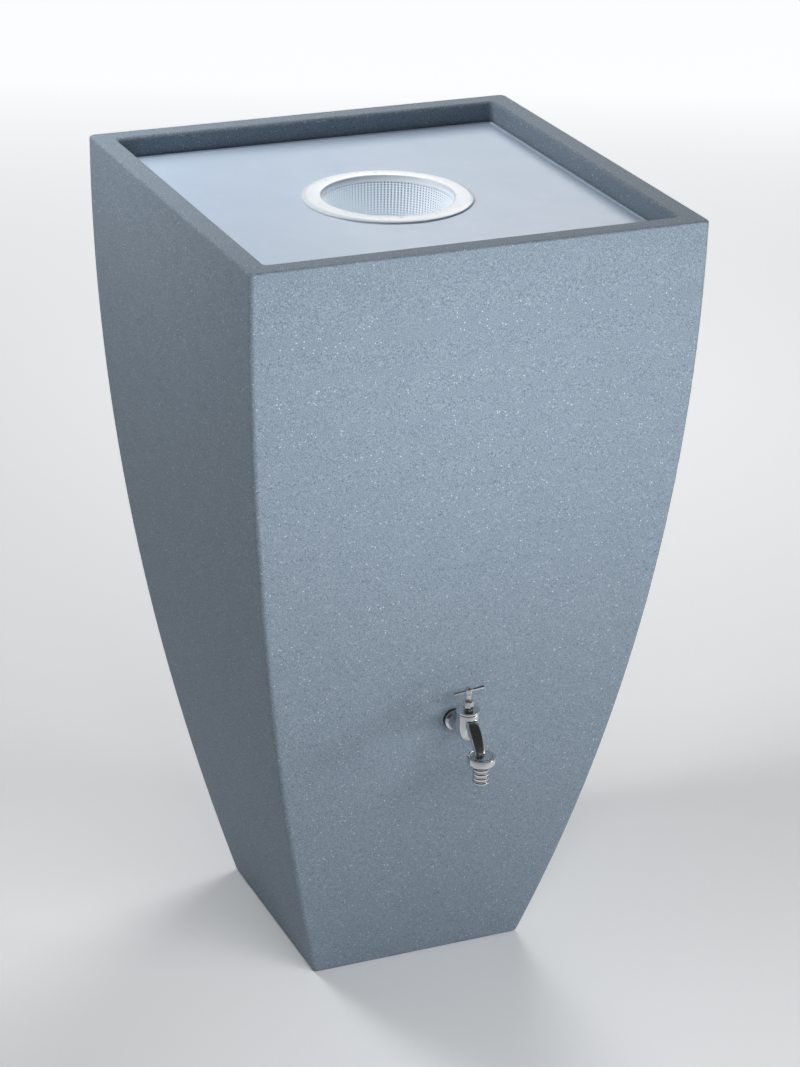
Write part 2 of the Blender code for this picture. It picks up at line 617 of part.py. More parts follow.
def make_handle():
    """The tee handle: a sleeve and hub turned in one, with a bar that thickens towards its ends."""
    profile = [
        (0, HUB_TOP),
        (HUB_RADIUS - 0.6 * MM, HUB_TOP),
        (HUB_RADIUS, HUB_TOP - 0.6 * MM),
        (HUB_RADIUS, HUB_BOTTOM + 0.6 * MM),
        (SLEEVE_RADIUS, HUB_BOTTOM),
        (SLEEVE_RADIUS, SLEEVE_BOTTOM + 1 * MM),
        (SLEEVE_RADIUS + 0.4 * MM, SLEEVE_BOTTOM),
        (0, SLEEVE_BOTTOM),
    ]
    handle = turned("tee_handle", profile, BARREL, CHROME, closed=False)
    stand_at(handle, VALVE_Y, HANDLE_ANGLE)
    for side, turn in (("left", math.pi), ("right", 0)):
        bm = bmesh.new()
        bmesh.ops.create_cone(
            bm,
            cap_ends=True,
            segments=16,
            radius1=BAR_RADII[0],
            radius2=BAR_RADII[1],
            depth=BAR_REACH[1] - BAR_REACH[0],
        )
        ends = [edge for edge in bm.edges if all(vert.co.z > 0 for vert in edge.verts)]
        bmesh.ops.bevel(bm, geom=ends, offset=0.8 * MM, segments=2, profile=0.5, affect="EDGES")
        bar = add_object(f"{side}_bar", bm, CUTTERS)
        lie_down = Matrix.Rotation(math.pi / 2, 4, "Y")
        outwards = Matrix.Translation((sum(BAR_REACH) / 2, 0, BAR_Z))
        spin = Matrix.Rotation(HANDLE_ANGLE + turn, 4, "Z")
        bar.matrix_world = Matrix.Translation((0, VALVE_Y, 0)) @ spin @ outwards @ lie_down
        join(handle, bar)
    stem_bore = rod("stem_bore", STEM_RADIUS + GAP, SLEEVE_BOTTOM - MM, HUB_TOP - 3.2 * MM, CUTTERS)
    screw_hole = rod("screw_hole", SCREW_HOLE_RADIUS, HUB_TOP - 5 * MM, HUB_TOP + MM, CUTTERS)
    cut(handle, stand_at(stem_bore, VALVE_Y), stand_at(screw_hole, VALVE_Y))

    head = HUB_TOP + GAP
    head_radius = 3.2 * MM
    head_height = 1.3 * MM
    screw_end = HUB_TOP - 10 * MM
    screw_profile = [
        (0, head + head_height),
        (0.6 * head_radius, head + 0.85 * head_height),
        (head_radius, head + 0.3 * head_height),
        (head_radius, head),
        (SCREW_RADIUS, head),
        (SCREW_RADIUS, screw_end),
        (0, screw_end),
    ]
    screw = turned("handle_screw", screw_profile, BARREL, CHROME, closed=False)
    stand_at(screw, VALVE_Y, HANDLE_ANGLE)
    bm = bmesh.new()
    bmesh.ops.create_cube(bm, size=1)
    slot_size = Matrix.Diagonal((8 * MM, 0.8 * MM, 1.2 * MM, 1))
    bmesh.ops.transform(bm, matrix=slot_size, verts=bm.verts)
    bmesh.ops.translate(bm, verts=bm.verts, vec=(0, 0, head + head_height))
    slot = add_object("screw_slot", bm, CUTTERS)
    cut(screw, stand_at(slot, VALVE_Y, HANDLE_ANGLE + math.radians(35)))


def make_hose_coupling():
    """The union nut, the ribbed hose nozzle that it holds, and the washer between nozzle and spout."""
    bore = OUTLET_THREAD_RADIUS + GAP
    nut_profile = [
        (NUT_RADIUS - 0.8 * MM, NUT_TOP),
        (NUT_RADIUS, NUT_TOP - 0.8 * MM),
        (NUT_RADIUS, NUT_BAND_BOTTOM),
        (NUT_RADIUS - 1.1 * MM, NUT_BAND_BOTTOM - 2 * MM),
        (NUT_RADIUS - 3.5 * MM, NUT_BAND_BOTTOM - 4.4 * MM),
        (NUT_RADIUS - 6.1 * MM, NUT_BOTTOM),
        (NUT_HOLE_RADIUS, NUT_BOTTOM),
        (NUT_HOLE_RADIUS, NUT_SHOULDER),
        (bore, NUT_SHOULDER),
        (bore, NUT_TOP),
    ]
    stand_at(turned("union_nut", nut_profile, BARREL, CHROME, segments=FINE), OUTLET_Y)

    flange_radius = OUTLET_THREAD_RADIUS - 0.1 * MM
    washer = tube("nozzle_washer", flange_radius, 8 * MM, NOZZLE_FLANGE_TOP + GAP, COLLAR_BOTTOM - GAP,
                  BARREL, RUBBER)
    stand_at(washer, OUTLET_Y)

    flange_bottom = NUT_SHOULDER + GAP
    profile = [(flange_radius, NOZZLE_FLANGE_TOP), (flange_radius, flange_bottom)]
    profile.append((NOZZLE_NECK_RADIUS, flange_bottom))
    for i in range(RIBS):
        top = NOZZLE_END + 2.25 * MM + (RIBS - 1 - i) * RIB_PITCH
        profile += [(NOZZLE_NECK_RADIUS, top + 0.5 * MM), (RIB_RADIUS, top), (RIB_RADIUS, top - 1.5 * MM)]
        if i < RIBS - 1:
            profile.append((NOZZLE_NECK_RADIUS, top - 4.3 * MM))
    profile += [(RIB_RADIUS - 0.8 * MM, NOZZLE_END), (NOZZLE_BORE_RADIUS, NOZZLE_END)]
    profile.append((NOZZLE_BORE_RADIUS, NOZZLE_FLANGE_TOP))
    stand_at(turned("hose_nozzle", profile, BARREL, CHROME, segments=FINE), OUTLET_Y)


make_barrel_shell()
make_lid()
make_sieve()
make_tap_body()
make_wall_fixings()
make_bonnet()
make_valve()
make_spindle()
make_handle()
make_hose_coupling()
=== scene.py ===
"""The looks of the rain barrel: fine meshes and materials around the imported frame, in metres."""

import json
import math

import bmesh
import bpy
import numpy as np
from mathutils import Matrix, Vector


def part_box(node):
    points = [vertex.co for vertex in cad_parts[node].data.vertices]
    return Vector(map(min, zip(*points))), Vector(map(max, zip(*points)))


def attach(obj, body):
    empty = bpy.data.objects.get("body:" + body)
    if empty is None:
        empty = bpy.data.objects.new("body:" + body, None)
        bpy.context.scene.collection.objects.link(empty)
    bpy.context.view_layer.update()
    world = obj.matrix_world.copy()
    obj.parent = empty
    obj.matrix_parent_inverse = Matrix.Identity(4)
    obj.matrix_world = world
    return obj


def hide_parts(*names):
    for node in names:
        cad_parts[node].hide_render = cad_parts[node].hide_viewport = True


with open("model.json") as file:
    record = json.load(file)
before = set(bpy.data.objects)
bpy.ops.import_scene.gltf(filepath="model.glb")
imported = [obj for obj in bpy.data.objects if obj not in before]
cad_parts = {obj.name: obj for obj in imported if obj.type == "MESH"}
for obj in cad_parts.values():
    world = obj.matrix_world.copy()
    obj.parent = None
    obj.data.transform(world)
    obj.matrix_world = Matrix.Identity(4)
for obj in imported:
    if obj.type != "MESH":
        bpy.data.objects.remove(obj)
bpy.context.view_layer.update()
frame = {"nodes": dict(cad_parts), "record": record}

MM = 0.001
GAP = 0.3 * MM  # between pieces that touch, as in the frame

# ---------------------------------------------------------------- places read from the frame

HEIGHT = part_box("barrel_shell")[1].z
LID_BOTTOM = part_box("lid_panel")[0].z
LID_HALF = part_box("lid_panel")[1].x
LID_LIP_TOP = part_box("lid_panel")[1].z
LID_TOP = LID_LIP_TOP - 1.2 * MM  # the flat inside the bead
FLANGE_LOW = LID_TOP + GAP
SIEVE_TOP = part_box("sieve_basket")[1].z
SIEVE_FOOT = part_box("sieve_basket")[0].z
SIEVE_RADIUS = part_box("sieve_basket")[1].x
OUTLET_Y = (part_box("union_nut")[0].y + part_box("union_nut")[1].y) / 2
VALVE_Y = (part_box("bonnet")[0].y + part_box("bonnet")[1].y) / 2
TAP_Z = (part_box("outer_gasket")[0].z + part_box("outer_gasket")[1].z) / 2
SEAT_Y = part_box("outer_gasket")[1].y + GAP
INNER_SEAT_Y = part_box("inner_gasket")[0].y - GAP
SHANK_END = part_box("tap_body")[1].y

# ---------------------------------------------------------------- the barrel's driving sizes

TOP_HALF = 285 * MM
BASE_HALF = 142.5 * MM
WALL = 5 * MM
FLOOR = 6 * MM
CORNER_RADIUS = 6.5 * MM
INNER_CORNER_RADIUS = 5 * MM
RECESS_CORNER_RADIUS = 7 * MM
LEDGE_CORNER_RADIUS = 8 * MM
TRAY_CORNER_RADIUS = 12 * MM
RECESS_HALF = 256 * MM
LEDGE_TOP = LID_BOTTOM - GAP
LEDGE_INNER_HALF = 242 * MM
SHANK_HOLE_RADIUS = 10.9 * MM
LID_HOLE_RADIUS = 84 * MM
LEAN = TOP_HALF - BASE_HALF
SIDE_RADIUS = (HEIGHT**2 + LEAN**2) / (2 * LEAN)


def half_width(z):
    """Half the barrel's outer width at height z: each side leans in along one circular arc."""
    return TOP_HALF - SIDE_RADIUS + math.sqrt(SIDE_RADIUS**2 - (HEIGHT - z) ** 2)


# ---------------------------------------------------------------- mesh helpers

NOTHING = 1e-7  # a width below this is a point on the axis


def filleted(corners, steps=4):
    """Corners (x, y, ..., radius) as Vectors. Each radius becomes an arc of steps pieces."""
    points = []
    count = len(corners)
    for i, (*place, radius) in enumerate(corners):
        here = Vector(place)
        if radius <= 0:
            points.append(here)
            continue
        before = Vector(corners[i - 1][:-1]) - here
        after = Vector(corners[(i + 1) % count][:-1]) - here
        lengths = before.xy.length, after.xy.length
        half = before.xy.angle(after.xy) / 2
        reach = min(radius / math.tan(half), 0.49 * lengths[0], 0.49 * lengths[1])
        start = here + before * (reach / lengths[0])
        end = here + after * (reach / lengths[1])
        middle = (before.xy / lengths[0] + after.xy / lengths[1]).normalized()
        centre = here.xy + middle * (reach / math.cos(half))
        turn = (start.xy - centre).angle_signed(end.xy - centre)
        for k in range(steps + 1):
            share = k / steps
            point = start.lerp(end, share)
            point.xy = centre + Matrix.Rotation(-turn * share, 2) @ (start.xy - centre)
            points.append(point)
    return points


def finish_mesh(name, bm, sharp_above=40):
    """A new object of the bmesh, shaded smooth but for edges sharper than the angle in degrees."""
    bmesh.ops.recalc_face_normals(bm, faces=bm.faces)
    mesh = bpy.data.meshes.new(name)
    bm.to_mesh(mesh)
    bm.free()
    obj = bpy.data.objects.new(name, mesh)
    bpy.context.scene.collection.objects.link(obj)
    shade(obj, sharp_above)
    return obj


def shade(obj, sharp_above=40):
    obj.data.shade_smooth()
    obj.data.set_sharp_from_angle(angle=math.radians(sharp_above))


def loft(bm, rings, closed=True):
    """Faces between rings of vertices. A ring of one vertex is a pole."""
    following = rings[1:] + rings[:1] if closed else rings[1:]
    for ring, after in zip(rings, following):
        count = max(len(ring), len(after))
        if count == 1:
            continue
        for k in range(count):
            corners = [ring[k % len(ring)], ring[(k + 1) % len(ring)]]
            corners += [after[(k + 1) % len(after)], after[k % len(after)]]
            bm.faces.new(list(dict.fromkeys(corners)))


def circle(bm, radius, z, count):
    """A ring of vertices about the Z axis, or one vertex where the radius is nothing."""
    if radius < NOTHING:
        return [bm.verts.new((0, 0, z))]
    turns = [2 * math.pi * k / count for k in range(count)]
    return [bm.verts.new((radius * math.cos(turn), radius * math.sin(turn), z)) for turn in turns]


def lathe(name, corners, segments=96, steps=4):
    """(radius, height, fillet) corners of a closed outline, turned about Z."""
    bm = bmesh.new()
    loft(bm, [circle(bm, radius, height, segments) for radius, height in filleted(corners, steps)])
    return finish_mesh(name, bm)


def square_ring(bm, half, z, radius, side_steps, corner_steps=8):
    """A rounded square of vertices about the Z axis, or one vertex where it has no width."""
    if half < NOTHING:
        return [bm.verts.new((0, 0, z))]
    radius = min(radius, half)
    ring = []
    reach = half - radius
    for quarter in range(4):
        spin = Matrix.Rotation(quarter * math.pi / 2, 2)
        for k in range(corner_steps + 1):
            turn = math.pi / 2 * k / corner_steps
            point = Vector((reach + radius * math.cos(turn), reach + radius * math.sin(turn)))
            ring.append(spin @ point)
        for k in range(1, side_steps):
            ring.append(spin @ Vector((reach - 2 * reach * k / side_steps, half)))
    return [bm.verts.new((x, y, z)) for x, y in ring]


def square_loft(name, corners, side_steps=24, steps=5):
    """(half width, height, corner radius, fillet) corners: rounded squares, lofted in turn."""
    bm = bmesh.new()
    outline = filleted(corners, steps)
    loft(bm, [square_ring(bm, half, z, radius, side_steps) for half, z, radius in outline])
    return finish_mesh(name, bm)


def boolean(obj, operation, *others, solver="EXACT"):
    for other in others:
        modifier = obj.modifiers.new(other.name, "BOOLEAN")
        modifier.object = other
        modifier.operation = operation
        modifier.solver = solver


def settle(obj, *helpers):
    """Makes the modifiers' result the object's own mesh and removes the helper objects."""
    bpy.context.view_layer.update()
    graph = bpy.context.evaluated_depsgraph_get()
    mesh = bpy.data.meshes.new_from_object(obj.evaluated_get(graph))
    obj.modifiers.clear()
    obj.data = mesh
    for helper in helpers:
        bpy.data.objects.remove(helper)
    return obj


def place(obj, matrix):
    """Moves the mesh itself, so that the object stays at the origin."""
    obj.data.transform(matrix)
    return obj


def along_y(obj):
    """A piece made about Z, laid along Y on the tap's inlet axis."""
    return place(obj, Matrix.Translation((0, 0, TAP_Z)) @ Matrix.Rotation(-math.pi / 2, 4, "X"))


def upright_at(obj, y, angle=0.0):
    """A piece made about Z, moved along Y to its own upright axis and turned by the angle."""
    return place(obj, Matrix.Translation((0, y, 0)) @ Matrix.Rotation(angle, 4, "Z"))


def even_shading(obj):
    """Keeps the broad flat faces flat where they meet small fillets."""
    shade(obj, 35)
    weighted = obj.modifiers.new("even_shading", "WEIGHTED_NORMAL")
    weighted.keep_sharp = True
    weighted.weight = 80


def smooth_casting(obj, voxel, rounds):
    """Melts joined shapes into one casting with rounded inside corners."""
    remesh = obj.modifiers.new("one_skin", "REMESH")
    remesh.mode = "VOXEL"
    remesh.voxel_size = voxel
    soften = obj.modifiers.new("soften", "SMOOTH")
    soften.factor = 0.5
    soften.iterations = rounds
    settle(obj)
    obj.data.shade_smooth()
    return obj


# ---------------------------------------------------------------- material helpers


def new_material(name, roughness=0.5, metallic=0.0):
    """A material and its shader. A map linked to the roughness later takes its place."""
    material = bpy.data.materials.new(name)
    material.use_nodes = True
    shader = material.node_tree.nodes["Principled BSDF"]
    shader.inputs["Roughness"].default_value = roughness
    shader.inputs["Metallic"].default_value = metallic
    return material, shader


def node(material, kind, inputs=None, **settings):
    """A new node with its settings and inputs. An input that is a socket is linked."""
    made = material.node_tree.nodes.new("ShaderNode" + kind)
    for key, value in settings.items():
        setattr(made, key, value)
    for key, value in (inputs or {}).items():
        if isinstance(value, bpy.types.NodeSocket):
            material.node_tree.links.new(value, made.inputs[key])
        else:
            made.inputs[key].default_value = value
    return made


def link(material, socket, target):
    material.node_tree.links.new(socket, target)


def place_socket(material):
    """The place on the piece, in metres."""
    return node(material, "TexCoord").outputs["Object"]


def noise(material, per_metre, detail=3.0, roughness=0.5):
    """Smooth noise of about 0 to 1, with per_metre of its largest lumps in a metre."""
    inputs = {"Vector": place_socket(material), "Scale": per_metre}
    inputs.update({"Detail": detail, "Roughness": roughness})
    return node(material, "TexNoise", inputs).outputs["Fac"]


def mottled(material, target, height_map, low, high, stops=(0.3, 0.7)):
    """Links the target to a colour or value that drifts from low to high with the noise."""
    link(material, ramp(material, height_map, ((stops[0], low), (stops[1], high))), target)


def map_range(material, value, source, result, **settings):
    """The value carried over from the source range to the result range, and held at its ends."""
    made = node(material, "MapRange", {"Value": value}, **settings)
    ends = (*source, *result)
    for name, end in zip(("From Min", "From Max", "To Min", "To Max"), ends):
        made.inputs[name].default_value = end
    return made.outputs["Result"]


def ramp(material, factor, stops):
    """A colour ramp. stops are (position, value or colour)."""
    made = node(material, "ValToRGB", {"Fac": factor})
    elements = made.color_ramp.elements
    while len(elements) < len(stops):
        elements.new(0.5)
    for element, (position, value) in zip(elements, stops):
        element.position = position
        element.color = (*value, 1) if isinstance(value, tuple) else (value, value, value, 1)
    return made.outputs["Color"]


def spots(material, per_metre, share, size, seed):
    """1 in small round specks and 0 between them: only a share of the Voronoi cells holds one."""
    moves = {0: place_socket(material), 1: (seed, seed, seed)}
    shifted = node(material, "VectorMath", moves, operation="ADD").outputs["Vector"]
    cells = node(material, "TexVoronoi", {"Vector": shifted, "Scale": per_metre})
    rare = {0: cells.outputs["Color"], 1: 1 - share}
    chosen = node(material, "Math", rare, operation="GREATER_THAN").outputs[0]
    distance = cells.outputs["Distance"]
    ends = (size, size * 0.5)
    near = map_range(material, distance, ends, (0, 1), interpolation_type="SMOOTHSTEP")
    return node(material, "Math", {0: chosen, 1: near}, operation="MULTIPLY").outputs[0]


def mixed(material, factor, first, second):
    """A colour mix. first and second are colours or sockets."""
    made = node(material, "Mix", data_type="RGBA")
    # The Mix node's sockets 6 and 7 are its colours A and B.
    for index, value in ((0, factor), (6, first), (7, second)):
        if isinstance(value, bpy.types.NodeSocket):
            link(material, value, made.inputs[index])
        elif isinstance(value, tuple):
            made.inputs[index].default_value = (*value, 1)
        else:
            made.inputs[index].default_value = value
    return made.outputs[2]


def bumped(material, shader, height, depth, strength):
    made = node(material, "Bump", {"Height": height, "Distance": depth, "Strength": strength})
    link(material, made.outputs["Normal"], shader.inputs["Normal"])


# ---------------------------------------------------------------- materials


def stone_plastic():
    """Slate blue polyethylene, moulded with fine light and dark stone specks."""
    material, shader = new_material("stone_plastic")
    shader.inputs["Specular IOR Level"].default_value = 0.25
    dim, pale = (0.205, 0.258, 0.315), (0.228, 0.284, 0.344)
    clouds = ramp(material, noise(material, 26, 4, 0.6), ((0.3, dim), (0.7, pale)))
    dark, light = (0.085, 0.118, 0.156), (0.340, 0.410, 0.480)
    grain = ramp(material, noise(material, 680, 2, 0.7), ((0.38, dark), (0.62, light)))
    colour = mixed(material, 0.5, clouds, grain)
    # Specks: how many to a metre, the share of cells with one, the seed and the colour
    for per_metre, share, seed, speck in (
        (420, 0.16, 0.13, (0.36, 0.42, 0.48)),
        (380, 0.14, 0.57, (0.10, 0.135, 0.175)),
        (420, 0.12, 0.91, (0.58, 0.65, 0.71)),
    ):
        colour = mixed(material, spots(material, per_metre, share, 0.42, seed), colour, speck)
    link(material, colour, shader.inputs["Base Color"])
    mottled(material, shader.inputs["Roughness"], noise(material, 300, 2), 0.62, 0.78)
    bumped(material, shader, noise(material, 520, 3, 0.6), 0.25 * MM, 0.7)
    return material


def lid_plastic():
    """Smooth, satin, pale blue grey."""
    material, shader = new_material("lid_plastic")
    shader.inputs["Specular IOR Level"].default_value = 0.3
    dim, pale = (0.48, 0.585, 0.725), (0.505, 0.61, 0.75)
    mottled(material, shader.inputs["Base Color"], noise(material, 14, 3), dim, pale)
    mottled(material, shader.inputs["Roughness"], noise(material, 45, 3), 0.36, 0.46)
    bumped(material, shader, noise(material, 900, 2), 0.06 * MM, 0.5)
    return material


def white_plastic():
    """Smooth and white. All but the top of the basket glows a little: painted light that brightens its
    thin wall.
    """
    material, shader = new_material("white_plastic")
    dim, pale = (0.82, 0.875, 0.93), (0.85, 0.90, 0.95)
    mottled(material, shader.inputs["Base Color"], noise(material, 30, 2), dim, pale)
    mottled(material, shader.inputs["Roughness"], noise(material, 120, 3), 0.26, 0.38)
    place_parts = node(material, "SeparateXYZ", {"Vector": place_socket(material)})
    # Painted glow: an emission of 0.33 below the top 12 mm, fading to none just under the top.
    fade = (SIEVE_TOP - 12 * MM, SIEVE_TOP - 1 * MM)
    painted_glow = map_range(material, place_parts.outputs["Z"], fade, (0.33, 0))
    shader.inputs["Emission Color"].default_value = (0.78, 0.89, 1.0, 1)
    link(material, painted_glow, shader.inputs["Emission Strength"])
    return material


def chrome():
    """Polished plating, with the faint haze and unevenness of a cast part that was buffed."""
    material, shader = new_material("chrome", metallic=1.0)
    dim, pale = (0.66, 0.665, 0.68), (0.72, 0.725, 0.735)
    mottled(material, shader.inputs["Base Color"], noise(material, 160, 2), dim, pale)
    haze = noise(material, 260, 4, 0.6)
    mottled(material, shader.inputs["Roughness"], haze, 0.10, 0.20, (0.35, 0.75))
    bumped(material, shader, noise(material, 190, 2), 0.08 * MM, 0.5)
    return material


def turned_metal(name, light, dark, roughness):
    """Bare metal with fine lathe marks that ring the valve's axis."""
    material, shader = new_material(name, metallic=1.0)
    inputs = {"Vector": place_socket(material), "Scale": (60, 60, 3000)}
    stretched = node(material, "Mapping", inputs).outputs["Vector"]
    inputs = {"Vector": stretched, "Scale": 1.0, "Detail": 2.0}
    marks = node(material, "TexNoise", inputs).outputs["Fac"]
    mottled(material, shader.inputs["Base Color"], noise(material, 220, 3), dark, light)
    mottled(material, shader.inputs["Roughness"], marks, roughness - 0.08, roughness + 0.1)
    bumped(material, shader, marks, 0.05 * MM, 0.5)
    return material


def dull(name, light, dark, roughness, per_metre):
    """Rubber or pressed fibre."""
    material, shader = new_material(name, roughness)
    mottled(material, shader.inputs["Base Color"], noise(material, per_metre, 4, 0.6), dark, light)
    bumped(material, shader, noise(material, per_metre * 2, 3), 0.08 * MM, 0.7)
    return material


SLOTS = {
    "stone_plastic": stone_plastic(),
    "lid_plastic": lid_plastic(),
    "white_plastic": white_plastic(),
    "chrome": chrome(),
    "brass": turned_metal("brass", (0.66, 0.55, 0.36), (0.52, 0.42, 0.26), 0.3),
    "steel": turned_metal("steel", (0.62, 0.62, 0.63), (0.50, 0.50, 0.52), 0.28),
    "rubber": dull("rubber", (0.035, 0.035, 0.037), (0.018, 0.018, 0.02), 0.75, 600),
    "fibre": dull("fibre", (0.20, 0.10, 0.08), (0.14, 0.07, 0.05), 0.8, 1400),
}


def piece(obj, body, slot, *replaced):
    """Puts a finished piece on its body, in place of the plain nodes."""
    obj.data.materials.clear()
    obj.data.materials.append(SLOTS[slot])
    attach(obj, body)
    if replaced:
        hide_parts(*replaced)
    return obj


# ---------------------------------------------------------------- barrel


def wall_disc(name, radius, front, back, fillet=0.0):
    """A helper on the tap's inlet axis, from one Y to another, rounded at the back."""
    corners = [(0, front, 0), (radius, front, 0), (radius, back, fillet), (0, back, 0)]
    return along_y(lathe(name, corners, segments=64))


def barrel_skin():
    """The moulded tank: outer sides, rolled rim, recess, ledge and hollow inside, as one skin."""
    outer_levels = np.linspace(16 * MM, HEIGHT - 12 * MM, 56)
    inner_levels = np.linspace(HEIGHT - 18 * MM, FLOOR + 12 * MM, 44)
    ledge_under = LEDGE_TOP - WALL
    tray_half = RECESS_HALF + WALL
    rim_under = HEIGHT - WALL
    middle = 0.5 * BASE_HALF  # a ring halfway in, so that the flat base has even faces
    corners = [(0, 0, 0, 0), (middle, 0, 20 * MM, 0), (BASE_HALF, 0, CORNER_RADIUS, 6 * MM)]
    corners += [(half_width(z), z, CORNER_RADIUS, 0) for z in outer_levels]
    corners += [
        (TOP_HALF, HEIGHT, CORNER_RADIUS, 3 * MM),
        (RECESS_HALF, HEIGHT, RECESS_CORNER_RADIUS, 6 * MM),
        (RECESS_HALF, LEDGE_TOP, RECESS_CORNER_RADIUS, 1.5 * MM),
        (LEDGE_INNER_HALF, LEDGE_TOP, LEDGE_CORNER_RADIUS, 1.5 * MM),
        (LEDGE_INNER_HALF, ledge_under, LEDGE_CORNER_RADIUS, 1.5 * MM),
        (tray_half, ledge_under, TRAY_CORNER_RADIUS, 3 * MM),
        (tray_half, rim_under, TRAY_CORNER_RADIUS, 3 * MM),
        (half_width(rim_under) - WALL, rim_under, INNER_CORNER_RADIUS, 3 * MM),
    ]
    corners += [(half_width(z) - WALL, z, INNER_CORNER_RADIUS, 0) for z in inner_levels]
    corners += [(half_width(FLOOR) - WALL, FLOOR, 6 * MM, 6 * MM), (middle, FLOOR, 20 * MM, 0)]
    corners += [(0, FLOOR, 0, 0)]
    skin = square_loft("barrel_skin", corners, side_steps=20)

    # The wall is thick round the tap. The pad's front follows the wall, just under its surface.
    outside = -0.3
    pad_front = -0.25
    pad = wall_disc("pad", 22 * MM, pad_front, INNER_SEAT_Y, 1 * MM)
    for vert in pad.data.vertices:
        if vert.co.y < pad_front + 10 * MM:
            vert.co.y = 1 * MM - half_width(vert.co.z)
    boss_back = INNER_SEAT_Y - 2 * MM
    boss_corners = [
        (0, SEAT_Y, 0),
        (17.5 * MM, SEAT_Y, 0.8 * MM),
        (17.5 * MM, boss_back, 0),
        (0, boss_back, 0),
    ]
    boss = along_y(lathe("boss", boss_corners, segments=64))
    pocket = wall_disc("pocket", 18 * MM, outside, SEAT_Y, 0.6 * MM)
    hole = wall_disc("hole", SHANK_HOLE_RADIUS, outside, outside + 0.1)
    boolean(skin, "UNION", pad, boss)
    boolean(skin, "DIFFERENCE", pocket, hole)
    settle(skin, pad, boss, pocket, hole)
    even_shading(skin)
    return piece(skin, "barrel", "stone_plastic", "barrel_shell")


def lid_plate():
    """The loose lid: a flat plate with a low bead round its edge and a soft-edged hole."""
    bead_half = LID_HALF - 2.5 * MM
    middle = 0.1  # a ring inside the bead, so that the flat has even faces
    corners = [
        (0, LID_BOTTOM, 0, 0),
        (middle, LID_BOTTOM, 60 * MM, 0),
        (LID_HALF, LID_BOTTOM, 5 * MM, 0.8 * MM),
        (LID_HALF, LID_LIP_TOP, 5 * MM, 0.9 * MM),
        (bead_half, LID_LIP_TOP, 2.5 * MM, 0.9 * MM),
        (bead_half - 1 * MM, LID_TOP, 2 * MM, 1 * MM),
        (middle, LID_TOP, 60 * MM, 0),
        (0, LID_TOP, 0, 0),
    ]
    plate = square_loft("lid_plate", corners)
    flare = 0.8 * MM
    past = 5 * MM  # how far the cutter goes beyond the plate
    soft = 0.5 * MM
    corners = [
        (0, LID_BOTTOM - past, 0),
        (LID_HOLE_RADIUS + past, LID_BOTTOM - past, 0),
        (LID_HOLE_RADIUS + flare, LID_BOTTOM, soft),
        (LID_HOLE_RADIUS, LID_BOTTOM + flare, soft),
        (LID_HOLE_RADIUS, LID_TOP - flare, soft),
        (LID_HOLE_RADIUS + flare, LID_TOP, soft),
        (LID_HOLE_RADIUS + past, LID_TOP + past, 0),
        (0, LID_TOP + past, 0),
    ]
    hole = lathe("lid_hole", corners, segments=144)
    boolean(plate, "DIFFERENCE", hole)
    settle(plate, hole)
    even_shading(plate)
    return piece(plate, "lid", "lid_plastic", "lid_panel")


# ---------------------------------------------------------------- sieve

BAND_WALL = 1.6 * MM
MESH_WALL = 0.8 * MM
FOOT_WALL = 1.2 * MM
MESH_COLUMNS = 116
MESH_ROWS = 38
MOUTH_RADIUS = 79 * MM
BAND_RADIUS = MOUTH_RADIUS - 0.3 * MM
FOOT_RADIUS = 71 * MM
BAND_TOP = SIEVE_TOP - 7 * MM
BAND_BOTTOM = SIEVE_FOOT + 5 * MM


def sieve_flange():
    """The flange that lies on the lid, with the smooth band under it."""
    corners = [
        (SIEVE_RADIUS, FLANGE_LOW, 0.3 * MM),
        (SIEVE_RADIUS, FLANGE_LOW + 1.6 * MM, 1.4 * MM),
        (SIEVE_RADIUS - 5 * MM, SIEVE_TOP, 4 * MM),
        (MOUTH_RADIUS + 1.5 * MM, SIEVE_TOP, 5 * MM),
        (MOUTH_RADIUS, BAND_TOP + 2 * MM, 4 * MM),
        (BAND_RADIUS, BAND_TOP, 0.3 * MM),
        (BAND_RADIUS + BAND_WALL, BAND_TOP, 0.3 * MM),
        (MOUTH_RADIUS + BAND_WALL, FLANGE_LOW, 0.8 * MM),
    ]
    return lathe("sieve_flange", corners, segments=140, steps=5)


def wall_radius(z):
    """The basket's inner radius at height z: the side widens evenly from foot to band."""
    share = (z - BAND_BOTTOM) / (BAND_TOP - BAND_BOTTOM)
    return FOOT_RADIUS + (BAND_RADIUS - FOOT_RADIUS) * share


def lattice(bm, corners, hole_share):
    """A mesh cell: a frame of four faces round a hole, which takes hole_share of each side."""
    middle = sum((vert.co for vert in corners), Vector()) / 4
    inner = [bm.verts.new(middle + (vert.co - middle) * hole_share) for vert in corners]
    for k in range(4):
        bm.faces.new((corners[k], corners[(k + 1) % 4], inner[(k + 1) % 4], inner[k]))


def lattice_band(bm, ring, after, hole_share):
    """A row of mesh cells between two rings of as many vertices."""
    for k in range(len(ring)):
        following = (k + 1) % len(ring)
        lattice(bm, (ring[k], ring[following], after[following], after[k]), hole_share)


def thicken(obj, thickness):
    """Gives a sheet its thickness, on the side that its faces turn away from."""
    solid = obj.modifiers.new("thickness", "SOLIDIFY")
    solid.thickness = thickness
    solid.offset = -1
    return settle(obj)


def sieve_wall():
    """The perforated side of the basket, one cell for each hole."""
    bm = bmesh.new()
    levels = [BAND_BOTTOM + (BAND_TOP - BAND_BOTTOM) * i / MESH_ROWS for i in range(MESH_ROWS + 1)]
    rings = [circle(bm, wall_radius(z), z, MESH_COLUMNS) for z in levels]
    for low, high in zip(rings, rings[1:]):
        lattice_band(bm, low, high, 0.56)
    return thicken(finish_mesh("sieve_wall", bm, 30), MESH_WALL)


